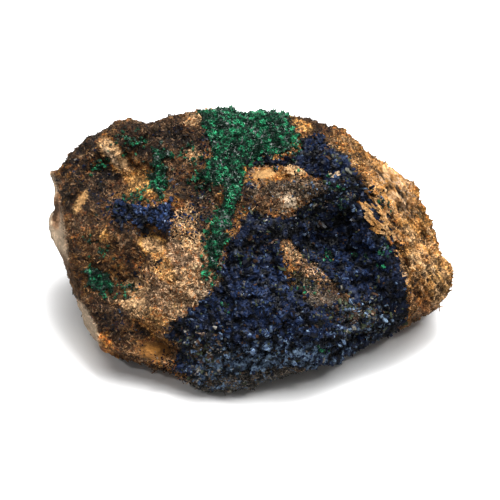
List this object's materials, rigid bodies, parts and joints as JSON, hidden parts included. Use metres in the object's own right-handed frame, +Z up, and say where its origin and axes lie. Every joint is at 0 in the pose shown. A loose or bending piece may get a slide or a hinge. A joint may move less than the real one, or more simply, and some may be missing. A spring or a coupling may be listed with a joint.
{
  "type": "azurite mineral specimen",
  "caption": "Hand-sized chunk of iron-stained rock with crusts of dark blue azurite crystals and green malachite on its leaning display face; it rests on a flat broken base.",
  "frame": {"origin": "on the flat resting face, under the middle of the display face", "axes": "+Z up, +X to the right along the stone's length, -Y towards the side that the display face looks to"},
  "size_m": [0.1023, 0.0705, 0.054],
  "materials": {
    "matrix": "rough broken iron-stained rock",
    "azurite": "glassy dark blue crystals",
    "malachite": "silky green crystal tufts"
  },
  "bodies": {
    "root": {"matrix_rock": "matrix", "azurite_crust_main": "azurite", "azurite_crust_left": "azurite", "malachite_crust_main": "malachite", "malachite_streak": "malachite", "malachite_patch_left": "malachite"}
  },
  "joints": []
}
